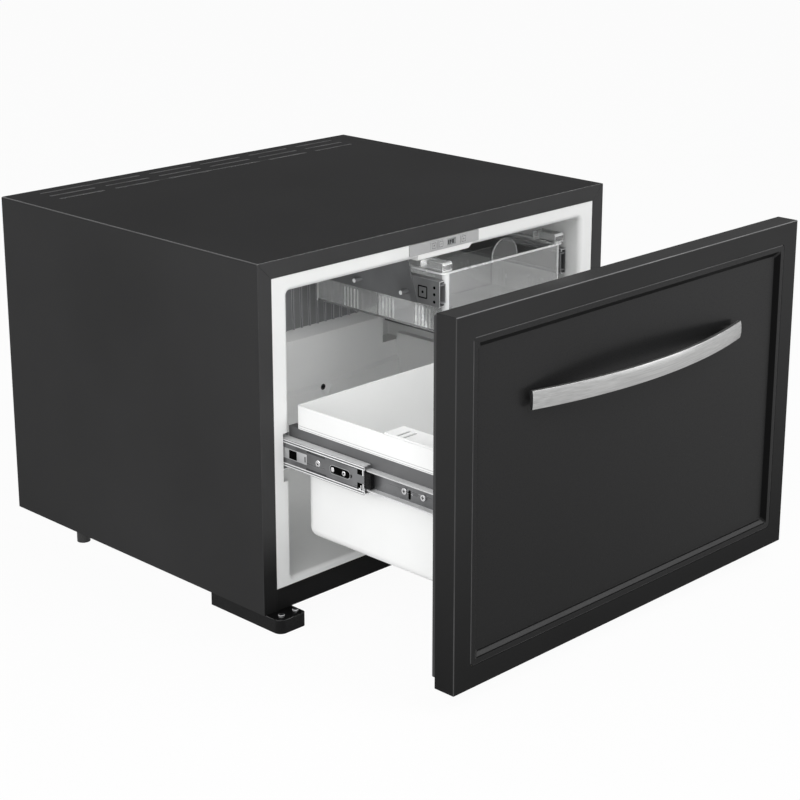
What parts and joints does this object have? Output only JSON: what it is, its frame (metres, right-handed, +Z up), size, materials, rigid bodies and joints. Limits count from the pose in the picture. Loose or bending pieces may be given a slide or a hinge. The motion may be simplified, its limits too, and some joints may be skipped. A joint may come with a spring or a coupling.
{
  "type": "drawer fridge",
  "caption": "Built-in cooler with a pull-out drawer on ball slides, a door front with a bowed handle, a small tray above it, touch keys and a rear cooling unit.",
  "frame": {"origin": "on the floor under the middle of the whole part's box, with the drawer open as at rest", "axes": "+X to the right seen from the front, +Y to the rear, +Z up; the drawer opens towards -Y"},
  "size_m": [0.565, 0.7692, 0.41],
  "materials": {
    "black_steel": "satin black powder coat",
    "door_black": "satin black coated steel",
    "white_plastic": "smooth white moulded plastic",
    "foam": "rigid foam",
    "zinc_steel": "zinc plated steel",
    "dark_steel": "dark grey coated steel",
    "brushed_steel": "brushed stainless steel",
    "black_plastic": "black moulded plastic",
    "gasket_rubber": "black soft rubber",
    "clear_plastic": "clear moulded plastic",
    "frosted_lens": "translucent white plastic",
    "grey_fascia": "grey plastic",
    "key_grey": "grey plastic keys",
    "display_glass": "dark display window",
    "dark_aluminium": "dark anodised aluminium",
    "bare_aluminium": "bare aluminium",
    "tube_steel": "black painted tube",
    "galvanised": "galvanised sheet",
    "board_green": "circuit board",
    "wool": "mineral wool",
    "ball_steel": "polished balls in steel strips",
    "screw_steel": "plated steel"
  },
  "bodies": {
    "cabinet": {"outer_wrapper": "black_steel", "front_bottom_rail": "black_steel", "base_pan": "galvanised", "inner_liner": "white_plastic", "insulation_foam": "foam", "back_plate": "galvanised", "evaporator_plate": "dark_aluminium", "evaporator_clamps": "bare_aluminium", "evaporator_tube": "tube_steel", "temperature_sensor": "white_plastic", "drain_tube": "black_plastic", "drip_tray": "black_plastic", "slide_cabinet_left": "zinc_steel", "slide_cabinet_right": "zinc_steel", "tray_slide_rails": "zinc_steel", "tray_bracket_left": "dark_steel", "tray_bracket_right": "dark_steel", "control_panel": "grey_fascia", "display_window": "display_glass", "control_board": "board_green", "lamp_lens": "frosted_lens", "boiler_tube": "tube_steel", "boiler_jacket": "galvanised", "boiler_wool": "wool", "heater_cartridge": "screw_steel", "condenser_tube": "tube_steel", "condenser_fins": "bare_aluminium", "absorber_coil": "tube_steel", "absorber_vessel": "tube_steel", "unit_brackets": "galvanised", "electronics_box": "black_plastic", "mains_inlet": "black_plastic", "foot_bracket_left": "black_plastic", "foot_bracket_right": "black_plastic", "foot_screws": "screw_steel", "rear_feet": "black_plastic"},
    "drawer": {"door_skin": "door_black", "door_panel": "door_black", "door_foam": "foam", "door_inner_pan": "white_plastic", "door_gasket": "gasket_rubber", "handle": "brushed_steel", "drawer_basket": "white_plastic", "drawer_side_rails": "dark_steel", "slide_drawer_left": "zinc_steel", "slide_drawer_right": "zinc_steel", "drawer_screws": "screw_steel"},
    "runner": {"slide_middle_left": "zinc_steel", "slide_middle_right": "zinc_steel", "slide_stops": "black_plastic"},
    "outer_cages": {"outer_ball_cages": "ball_steel"},
    "inner_cages": {"inner_ball_cages": "ball_steel"},
    "tray": {"bottle_tray": "clear_plastic", "tray_clips": "clear_plastic", "tray_slide_runners": "zinc_steel"},
    "tray_cages": {"tray_ball_cages": "ball_steel"},
    "rack": {"bottle_rack": "white_plastic"},
    "key_light": {"key_light": "key_grey"},
    "key_down": {"key_down": "key_grey"},
    "key_up": {"key_up": "key_grey"}
  },
  "joints": [
    {"name": "drawer_slide", "type": "slide", "parent": "cabinet", "child": "drawer", "axis": [0, -1, 0], "range_m": [-0.249, 0.086]},
    {"name": "runner_slide", "type": "slide", "parent": "cabinet", "child": "runner", "axis": [0, -1, 0], "range_m": [-0.1245, 0.043]},
    {"name": "outer_cage_slide", "type": "slide", "parent": "cabinet", "child": "outer_cages", "axis": [0, -1, 0], "range_m": [-0.06225, 0.0215]},
    {"name": "inner_cage_slide", "type": "slide", "parent": "cabinet", "child": "inner_cages", "axis": [0, -1, 0], "range_m": [-0.18675, 0.0645]},
    {"name": "tray_slide", "type": "slide", "parent": "cabinet", "child": "tray", "axis": [0, -1, 0], "range_m": [0, 0.15]},
    {"name": "tray_cage_slide", "type": "slide", "parent": "cabinet", "child": "tray_cages", "axis": [0, -1, 0], "range_m": [0, 0.075]},
    {"name": "rack_slide", "type": "slide", "parent": "drawer", "child": "rack", "axis": [0, 1, 0], "range_m": [-0.02, 0.1]},
    {"name": "key_light_press", "type": "slide", "parent": "cabinet", "child": "key_light", "axis": [0, 1, 0], "range_m": [0, 0.0008], "stiffness_N_per_m": 600, "springref_m": -0.0005},
    {"name": "key_down_press", "type": "slide", "parent": "cabinet", "child": "key_down", "axis": [0, 1, 0], "range_m": [0, 0.0008], "stiffness_N_per_m": 600, "springref_m": -0.0005},
    {"name": "key_up_press", "type": "slide", "parent": "cabinet", "child": "key_up", "axis": [0, 1, 0], "range_m": [0, 0.0008], "stiffness_N_per_m": 600, "springref_m": -0.0005}
  ],
  "couplings": [
    {"joint": "runner_slide", "follows": "drawer_slide", "ratio": 0.5},
    {"joint": "outer_cage_slide", "follows": "drawer_slide", "ratio": 0.25},
    {"joint": "inner_cage_slide", "follows": "drawer_slide", "ratio": 0.75},
    {"joint": "tray_cage_slide", "follows": "tray_slide", "ratio": 0.5}
  ]
}
